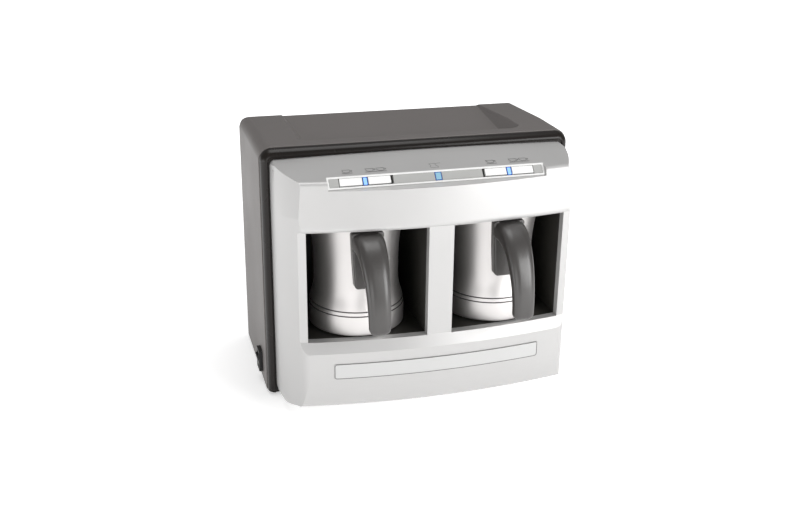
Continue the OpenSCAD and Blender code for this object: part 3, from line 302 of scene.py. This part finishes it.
for lens in ("led_lens_left", "led_lens_centre", "led_lens_right"):
    bar = take(lens, lens + "_bar", aqua if lens == "led_lens_centre" else blue, night)
    only(bar)
    bpy.ops.object.mode_set(mode="EDIT")
    bpy.ops.mesh.select_mode(type="FACE")
    bpy.ops.mesh.select_all(action="DESELECT")
    bpy.ops.object.mode_set(mode="OBJECT")
    top = max(face.center.dot(outward) for face in bar.data.polygons)
    for face in bar.data.polygons:
        face.select = face.center.dot(outward) > top - 0.0001
    bpy.ops.object.mode_set(mode="EDIT")
    bpy.ops.mesh.inset(thickness=lens_rim, use_even_offset=True)
    bpy.ops.object.mode_set(mode="OBJECT")
    for face in bar.data.polygons:
        face.material_index = 0 if face.select else 1
    even_shading(bar, 30)
    stand_in(bar, "machine", lens)

# ---- Label plate ----------------------------------------------------------------------
# A long plate let into the base block, in the same silver, with a thin printed frame
# line near its edge and nothing inside it.

plate = surface("silver_label_plate", (0.57, 0.57, 0.565), (0.53, 0.53, 0.525),
                0.36, 0.04, 1200.0, 0.00004, metal=0.3)
paint("label_plate", plate)

bow_middle, bow_radius = 0.6373, 0.73055


def on_base(x, z):
    """A spot on the bowed face of the base block, just proud of the plate."""
    return (x, bow_middle - math.sqrt(bow_radius ** 2 - x ** 2), z)


half_w, low, high, turn_r, longest = 0.0984, 0.0476, 0.0619, 0.0020, 0.004
edge = []
for middle_x, middle_z, start in ((half_w, high, 0), (-half_w, high, 90),
                                  (-half_w, low, 180), (half_w, low, 270)):
    for step in range(7):
        angle = math.radians(start + step * 15)
        edge.append((middle_x - math.copysign(turn_r, middle_x) + turn_r * math.cos(angle),
                     middle_z - (turn_r if middle_z == high else -turn_r)
                     + turn_r * math.sin(angle)))
outline = []
for (x1, z1), (x2, z2) in zip(edge, edge[1:] + edge[:1]):
    cuts = max(1, round(abs(x2 - x1) / longest))
    outline += [on_base(x1 + (x2 - x1) * i / cuts, z1 + (z2 - z1) * i / cuts)
                for i in range(cuts)]
frame_line = drawn("label_frame_line", [(outline, True)], 0.0005, grey_ink)
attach(frame_line, "machine")

# ---- Pots -----------------------------------------------------------------------------
# Two cezves, drawn in stainless steel and turned to a satin finish, so that the fine
# lines run round each pot. Two grooves are cut above the foot, their faces painted dark as shade.

steel = surface("turned_satin_steel", (0.72, 0.70, 0.69), (0.64, 0.62, 0.61),
                0.46, 0.04, 1.0, 0.00005, metal=0.95, stretch=(60.0, 60.0, 5200.0), bite=0.4)
# Painted shade: a dark steel laid in the grooves to stand for the shade inside them.
groove_shade_paint = surface("groove_painted_shade_steel", (0.16, 0.15, 0.15), (0.10, 0.095, 0.095),
                      0.5, 0.05, 2000.0, 0.00003, metal=0.6)


# In mm: radii at the foot, at the waist and what the lip adds; heights of the foot's top,
# the waist's ends and the rim; the two grooves' heights, depth and half width.
foot_r, waist_r, lip_flare = 45.0, 39.5, 4.0
foot_top, waist_low, waist_high, rim_h = 16, 42, 66, 102
grooves, groove_depth, groove_half = (19.0, 23.0), 0.65, 0.6
pot_x, pot_y, pot_z = 0.0663, -0.03375, 0.084


def pot_radius(h):
    """The pot's outside radius in mm at a height, eased over its waist."""
    total = 0.0
    for step in range(-6, 7):
        at = h + step
        r = waist_r
        if at < foot_top:
            r = foot_r
        elif at < waist_low:
            turn = math.pi * (at - foot_top) / (waist_low - foot_top)
            r += (foot_r - waist_r) * (1 + math.cos(turn)) / 2
        elif at > waist_high:
            r += lip_flare * ((at - waist_high) / (rim_h - waist_high)) ** 1.6
        total += r
    return total / 13


# The turned profile, radius and height in mm: up the outside, over the rim, down inside.
sides = [(44.0, 0.0), (44.6, 0.35), (44.9, 0.9), (45.0, 1.7), (45.0, 9.0)]
sides += [(pot_radius(h), h) for h in (12.0, 15.0, 17.0)]
for h in grooves:
    sides += [(pot_radius(h - groove_half), h - groove_half),
              (pot_radius(h) - groove_depth, h - 0.4),
              (pot_radius(h) - groove_depth, h + 0.4),
              (pot_radius(h + groove_half), h + groove_half)]
sides += [(pot_radius(24.5 + i * 77.0 / 40), 24.5 + i * 77.0 / 40) for i in range(40)]
sides += [(43.5, 101.35), (43.3, 101.8), (42.9, 102.0), (42.5, 101.8), (42.3, 101.35)]
sides += [(pot_radius(h) - 1.2, h)
          for h in (*range(98, 62, -4), *range(60, 42, -6), *range(44, 24, -4), 24.5)]
sides += [(43.0, 20.5), (42.4, 15.0), (42.4, 5.2), (41.9, 3.8), (40.6, 3.0)]
bpy.ops.mesh.primitive_circle_add(vertices=128, radius=sides[0][0] / 1000, fill_type="NGON")
bpy.ops.object.mode_set(mode="EDIT")
for (r1, h1), (r2, h2) in zip(sides, sides[1:]):
    bpy.ops.mesh.extrude_region_move(
        TRANSFORM_OT_translate={"value": (0.0, 0.0, (h2 - h1) / 1000)})
    bpy.ops.transform.resize(value=(r2 / r1, r2 / r1, 1.0), center_override=(0.0, 0.0, h2 / 1000))
bpy.ops.mesh.select_all(action="SELECT")
bpy.ops.mesh.normals_make_consistent(inside=False)
bpy.ops.object.mode_set(mode="OBJECT")
jug_left = bpy.context.object
jug_left.name = "pot_left_turned"
jug_left.data.materials.append(steel)
jug_left.data.materials.append(groove_shade_paint)
# The faces inside the grooves take the painted shade.
for face in jug_left.data.polygons:
    h, r = face.center.z * 1000, math.hypot(face.center.x, face.center.y) * 1000
    cut = min(abs(h - groove) for groove in grooves) < groove_half + 0.02
    face.material_index = 1 if cut and r > 43 else 0
bpy.ops.object.shade_smooth_by_angle(angle=math.radians(28))
jug_right = jug_left.copy()
jug_right.data = jug_left.data.copy()
jug_right.name = "pot_right_turned"
bpy.context.collection.objects.link(jug_right)
for side, pot, middle in (("left", jug_left, -pot_x), ("right", jug_right, pot_x)):
    pot.data.transform(Matrix.Translation((middle, pot_y, pot_z)))
    stand_in(pot, "pot_" + side, "pot_" + side)

# ---- Handles --------------------------------------------------------------------------
# A bracket against the pot and a grip that swings out and down, in dark soft-touch
# phenolic, held by two screws from inside the pot.

charcoal = surface("charcoal_phenolic", (0.046, 0.042, 0.040), (0.037, 0.034, 0.032),
                   0.36, 0.04, 1600.0, 0.00003, lacquer=0.08)
charcoal.node_tree.nodes["Principled BSDF"].inputs["Specular IOR Level"].default_value = 0.75
bright = surface("zinc_plated_screw", (0.62, 0.62, 0.63), (0.50, 0.50, 0.52),
                 0.25, 0.08, 3000.0, 0.00004, metal=1.0)
# The grip, in mm: a rounded section pushed along its curve, from inside the bracket to its
# end. A station is a distance out from the pot's axis, a height, half a depth and a lean.
bend_start, reach, end_h, drop = 50, 40, 28, 63.5
root_half, end_half, end_width, root_extra = 9.5, 6.0, 9.4, 5.0
stations = [(44.0, end_h + drop, root_half, 0.0), (48.0, end_h + drop, root_half, 0.0)]
for step in range(0, 25):
    swing = math.radians(step * 90 / 24)
    thick, tall = end_half * math.sin(swing), root_half * math.cos(swing)
    stations.append((bend_start + reach * math.sin(swing), end_h + drop * math.cos(swing),
                     math.hypot(thick, tall), math.atan2(thick, tall)))
widths = [end_width + root_extra * (1 - i / (len(stations) - 1)) ** 1.3
          for i in range(len(stations))]
for step in range(1, 7):
    lean = math.radians(step * 14)
    stations.append((bend_start + reach, end_h - end_half * math.sin(lean),
                     end_half * math.cos(lean), math.pi / 2))
    widths.append(end_width - 5.5 * (1 - math.cos(lean)))
bpy.ops.mesh.primitive_plane_add(size=1.0)
bpy.ops.object.mode_set(mode="EDIT")
bpy.ops.mesh.bevel(offset=0.33, segments=9, profile=0.5, affect="VERTICES")
bpy.ops.object.mode_set(mode="OBJECT")
grip = bpy.context.object
grip.name = "handle_left_moulding"
d, h, half, lean = stations[0]
grip.data.transform(Matrix.Translation((0, -d / 1000, h / 1000))
                    @ Matrix.Rotation(math.pi / 2, 4, "X")
                    @ Matrix.Diagonal((widths[0] / 500, half / 500, 1, 1)))
only(grip)
bpy.ops.object.mode_set(mode="EDIT")
bpy.ops.mesh.select_all(action="SELECT")
for i in range(1, len(stations)):
    d2, h2, half2, lean2 = stations[i]
    heart = (0.0, -d2 / 1000, h2 / 1000)
    bpy.ops.mesh.extrude_region_move(
        TRANSFORM_OT_translate={"value": (0, (d - d2) / 1000, (h2 - h) / 1000)})
    if lean2 > lean:
        bpy.ops.transform.rotate(value=-(lean2 - lean), orient_axis="X", center_override=heart)
    bpy.ops.transform.resize(value=(widths[i] / widths[i - 1], half2 / half, half2 / half),
                             center_override=heart)
    d, h, half, lean = d2, h2, half2, lean2
bpy.ops.mesh.select_all(action="SELECT")
bpy.ops.mesh.normals_make_consistent(inside=False)
bpy.ops.object.mode_set(mode="OBJECT")

# The bracket: a tapered block with rounded corners, its back cut to the pot's wall.
block_w, block_d, block_h, block_y, block_z = 0.030, 0.020, 0.0535, -0.0375, 0.07425
bpy.ops.mesh.primitive_cube_add(size=1.0)
bracket = bpy.context.object
bracket.data.transform(Matrix.Translation((0, block_y, block_z))
                       @ Matrix.Diagonal((block_w, block_d, block_h, 1)))
for corner in bracket.data.vertices:
    if corner.co.z < block_z:
        corner.co.x *= 11.5 / 15


def rounded(piece, chosen, radius, rounds):
    """Bevels the edges whose two ends pass a test."""
    only(piece)
    bpy.ops.object.mode_set(mode="EDIT")
    bpy.ops.mesh.select_mode(type="EDGE")
    bpy.ops.mesh.select_all(action="DESELECT")
    bpy.ops.object.mode_set(mode="OBJECT")
    points = piece.data.vertices
    for edge in piece.data.edges:
        a, b = (points[i].co for i in edge.vertices)
        edge.select = chosen(a, b)
    bpy.ops.object.mode_set(mode="EDIT")
    bpy.ops.mesh.bevel(offset=radius, segments=rounds, profile=0.5)
    bpy.ops.object.mode_set(mode="OBJECT")


rounded(bracket, lambda a, b: abs(a.x - b.x) < 0.0001 and abs(a.z - b.z) < 0.0001,
        0.0028, 6)
rounded(bracket, lambda a, b: max(a.y, b.y) < block_y - block_d / 2 + 0.0001, 0.0012, 4)


def merge_shapes(piece, other, how):
    """A boolean of two closed shapes, the second one used up."""
    only(piece)
    bpy.ops.object.modifier_add(type="BOOLEAN")
    piece.modifiers[-1].operation = how
    piece.modifiers[-1].object = other
    bpy.ops.object.modifier_apply(modifier=piece.modifiers[-1].name)
    bpy.data.objects.remove(other)


merge_shapes(grip, bracket, "UNION")
wall_gap = 0.12
levels = [24 + 79.0 * i / 30 for i in range(31)]
bpy.ops.mesh.primitive_circle_add(vertices=128, fill_type="NGON",
                                  radius=(pot_radius(levels[0]) + wall_gap) / 1000)
wall = bpy.context.object
wall.data.transform(Matrix.Translation((0, 0, levels[0] / 1000)))
bpy.ops.object.mode_set(mode="EDIT")
for h1, h2 in zip(levels, levels[1:]):
    bpy.ops.mesh.extrude_region_move(TRANSFORM_OT_translate={"value": (0, 0, (h2 - h1) / 1000)})
    ratio = (pot_radius(min(h2, rim_h)) + wall_gap) / (pot_radius(min(h1, rim_h)) + wall_gap)
    bpy.ops.transform.resize(value=(ratio, ratio, 1.0), center_override=(0, 0, h2 / 1000))
bpy.ops.mesh.select_all(action="SELECT")
bpy.ops.mesh.normals_make_consistent(inside=False)
bpy.ops.object.mode_set(mode="OBJECT")
merge_shapes(grip, wall, "DIFFERENCE")
grip.data.materials.clear()
grip.data.materials.append(charcoal)
only(grip)
bpy.ops.object.shade_smooth_by_angle(angle=math.radians(35))
other_grip = grip.copy()
other_grip.data = grip.data.copy()
other_grip.name = "handle_right_moulding"
bpy.context.collection.objects.link(other_grip)
for side, piece, middle in (("left", grip, -pot_x), ("right", other_grip, pot_x)):
    piece.data.transform(Matrix.Translation((middle, pot_y, pot_z)))
    stand_in(piece, "pot_" + side, "handle_" + side)
    paint("handle_screws_" + side, bright)

# ---- Switch ---------------------------------------------------------------------------
# The power switch low on the left wall: a housing that snaps into the shell and a rocker
# that tilts in it, both moulded in black nylon.

jet = surface("switch_black_nylon", (0.016, 0.016, 0.016), (0.010, 0.010, 0.010),
              0.36, 0.06, 2200.0, 0.00006)
switch_z = sum(corner[2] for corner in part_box("switch_rocker")) / 2
wall_x, stand_out, rocker_share = -0.1502, 0.0020, 0.92
for node, body in (("switch_housing", "machine"), ("switch_rocker", "switch_rocker")):
    piece = take(node, node + "_moulding", jet)
    for corner in piece.data.vertices:
        if corner.co.x < wall_x:
            corner.co.x -= stand_out
            if node == "switch_rocker":
                corner.co.z = switch_z + (corner.co.z - switch_z) * rocker_share
    ease(piece, 0.0004, 3, where=lambda p: p.x < wall_x)
    even_shading(piece, 30)
    stand_in(piece, body, node)

# ---- Heated plates --------------------------------------------------------------------
# Under each pot: a pressed plate with a dark heat-proof coating, the tubular element
# clamped below it, a sheet pan with its screws, a thermostat and a sleeved fuse.

coating = surface("dark_plate_coating", (0.055, 0.055, 0.058), (0.040, 0.040, 0.042),
                  0.48, 0.08, 1400.0, 0.00008, metal=0.2)
heated = surface("heat_stained_tube", (0.30, 0.24, 0.19), (0.16, 0.14, 0.14),
                 0.42, 0.10, 900.0, 0.00006, metal=0.9, drift=60.0)
sheet = surface("bright_sheet_steel", (0.56, 0.56, 0.57), (0.46, 0.46, 0.47),
                0.34, 0.08, 700.0, 0.00005, metal=1.0, drift=35.0)
braid = surface("woven_glass_sleeve", (0.72, 0.69, 0.60), (0.55, 0.52, 0.44),
                0.80, 0.06, 1500.0, 0.0003, bite=0.8)
thermal = surface("thermostat_black", (0.020, 0.020, 0.020), (0.012, 0.012, 0.012),
                  0.45, 0.08, 1500.0, 0.00006)
for side in ("left", "right"):
    paint("hotplate_" + side, coating)
    paint("element_" + side, heated)
    paint("heat_shield_" + side, sheet)
    paint("shield_screws_" + side, bright)
    paint("thermostat_" + side, thermal)
paint("thermal_fuses", braid)
paint("heater_leads", braid)

# ---- Foam sensors ---------------------------------------------------------------------
# A small black sensor over each bay, behind a deep red infrared window in the ceiling
# that looks down on the rising foam.

ruby = surface("infrared_red_window", (0.16, 0.012, 0.010), (0.10, 0.008, 0.007),
               0.12, 0.03, 500.0, 0.00003, lacquer=0.6)
for side in ("left", "right"):
    paint("sensor_window_" + side, ruby)
    paint("foam_sensor_" + side, thermal)

# ---- Boards and wiring ----------------------------------------------------------------
# The key board under the deck and the power board in the base, in green laminate, with
# what is soldered to them, the mains leads and the flat cable between the two.

laminate = surface("solder_mask_green", (0.030, 0.130, 0.060), (0.020, 0.095, 0.045),
                   0.36, 0.08, 1200.0, 0.00008, drift=80.0)
iron = surface("varnished_iron_core", (0.11, 0.10, 0.10), (0.07, 0.065, 0.065),
               0.40, 0.10, 900.0, 0.0001, metal=0.5)
relay = surface("relay_blue_plastic", (0.035, 0.12, 0.42), (0.025, 0.09, 0.34),
                0.35, 0.06, 1200.0, 0.00005)
ceramic = surface("cream_terminal_plastic", (0.72, 0.69, 0.60), (0.65, 0.62, 0.53),
                  0.40, 0.06, 1300.0, 0.00005)
brown = surface("brown_wire_jacket", (0.20, 0.085, 0.040), (0.15, 0.062, 0.030),
                0.42, 0.06, 1800.0, 0.00005)
grey = surface("grey_ribbon_jacket", (0.32, 0.32, 0.33), (0.26, 0.26, 0.27),
               0.45, 0.06, 1500.0, 0.00006)
for node, finish in (("control_board", laminate), ("power_board", laminate),
                     ("transformer", iron), ("relays", relay), ("buzzer", thermal),
                     ("tact_switches", thermal), ("terminal_block", ceramic),
                     ("mains_leads", brown), ("signal_cable", grey),
                     ("board_screws", bright), ("power_board_screws", bright)):
    paint(node, finish)

# ---- Underside ------------------------------------------------------------------------
# The base plate with its vents, the screws that close the casing, four rubber feet and,
# in the rear wall, the cord gland.

slab = surface("black_base_plastic", (0.020, 0.019, 0.019), (0.014, 0.013, 0.013),
               0.50, 0.06, 1700.0, 0.0001)
tread = surface("black_rubber", (0.024, 0.024, 0.024), (0.017, 0.017, 0.017),
                0.72, 0.08, 1500.0, 0.0002, bite=0.5)
for node, finish in (("base_plate", slab), ("cord_gland", tread), ("rubber_feet", tread),
                     ("base_screws", bright), ("shell_screws", bright)):
    paint(node, finish)

# ---- Studio ---------------------------------------------------------------------------
# A pale floor that glows, at about half strength by the machine and fully far out: painted
# light that washes out its shadows. A large soft light at the right, weaker ones at the left,
# in front and above, and white air. The camera looks a little down.

bpy.ops.mesh.primitive_plane_add(size=16.0)
floor = bpy.context.object
floor.name = "studio_floor"
chalk = surface("studio_floor_paint", (0.92, 0.92, 0.92), (0.90, 0.90, 0.90),
                0.85, 0.03, 40.0, 0.0001)
nodes, links = chalk.node_tree.nodes, chalk.node_tree.links
# Painted light: the floor's glow grows with distance from its middle and whitens its shadows.
away = nodes.new("ShaderNodeVectorMath")
away.operation = "LENGTH"
glow = nodes.new("ShaderNodeMapRange")
for socket, value in (("From Min", 0.16), ("From Max", 0.75), ("To Min", 0.48), ("To Max", 1.0)):
    glow.inputs[socket].default_value = value
spot = nodes.new("ShaderNodeTexCoord")
links.new(spot.outputs["Object"], away.inputs[0])
links.new(away.outputs["Value"], glow.inputs["Value"])
nodes["Principled BSDF"].inputs["Emission Color"].default_value = (1.0, 1.0, 1.0, 1.0)
links.new(glow.outputs["Result"], nodes["Principled BSDF"].inputs["Emission Strength"])
floor.data.materials.append(chalk)


def softbox(name, place, aim, width, height, power):
    """One soft rectangular studio light, aimed at a point."""
    lamp = bpy.data.lights.new(name, "AREA")
    lamp.shape = "RECTANGLE"
    lamp.size, lamp.size_y, lamp.energy = width, height, power
    stand = bpy.data.objects.new(name, lamp)
    bpy.context.collection.objects.link(stand)
    stand.location = place
    stand.rotation_mode = "QUATERNION"
    stand.rotation_quaternion = (Vector(aim) - Vector(place)).to_track_quat("-Z", "Y")


softbox("key_softbox", (0.85, -1.25, 0.62), (0.0, 0.0, 0.12), 0.7, 0.9, 15.0)
softbox("fill_softbox", (-1.35, -0.25, 0.16), (0.0, 0.0, 0.13), 0.9, 0.26, 2.15)
softbox("front_softbox", (-0.75, -1.50, 0.45), (0.0, 0.0, 0.12), 0.8, 0.6, 3.8)
softbox("top_softbox", (0.0, 0.2, 1.5), (0.0, 0.0, 0.1), 1.0, 1.0, 9.4)

sky = bpy.data.worlds.new("studio_air")
sky.use_nodes = True
nodes, links = sky.node_tree.nodes, sky.node_tree.links
nodes["Background"].inputs["Strength"].default_value = 0.27
wall_white = nodes.new("ShaderNodeBackground")
seen = nodes.new("ShaderNodeLightPath")
either = nodes.new("ShaderNodeMixShader")
for paper in (nodes["Background"], wall_white):
    paper.inputs["Color"].default_value = (1.0, 1.0, 1.0, 1.0)
links.new(seen.outputs["Is Camera Ray"], either.inputs[0])
links.new(nodes["Background"].outputs[0], either.inputs[1])
links.new(wall_white.outputs[0], either.inputs[2])
links.new(either.outputs[0], nodes["World Output"].inputs["Surface"])
bpy.context.scene.world = sky
bpy.context.scene.view_settings.view_transform = "Standard"

# The camera: turned to the left, tipped down and rolled a little, along its own axes.
turn, tip, roll = math.radians(-16.11), math.radians(21.4), math.radians(0.79)
back = Vector((math.sin(turn) * math.cos(tip), -math.cos(turn) * math.cos(tip), math.sin(tip)))
right = Vector((math.cos(turn), math.sin(turn), 0.0))
up = back.cross(right)
right, up = (right * math.cos(roll) + up * math.sin(roll),
             up * math.cos(roll) - right * math.sin(roll))
lens = bpy.data.cameras.new("camera")
lens.lens, lens.sensor_width = 47.19, 36.0
camera = bpy.data.objects.new("camera", lens)
bpy.context.collection.objects.link(camera)
camera.matrix_world = Matrix.Translation((-0.27745, -0.92991, 0.50622)) @ Matrix(
    (right, up, back)).transposed().to_4x4()
bpy.context.scene.camera = camera
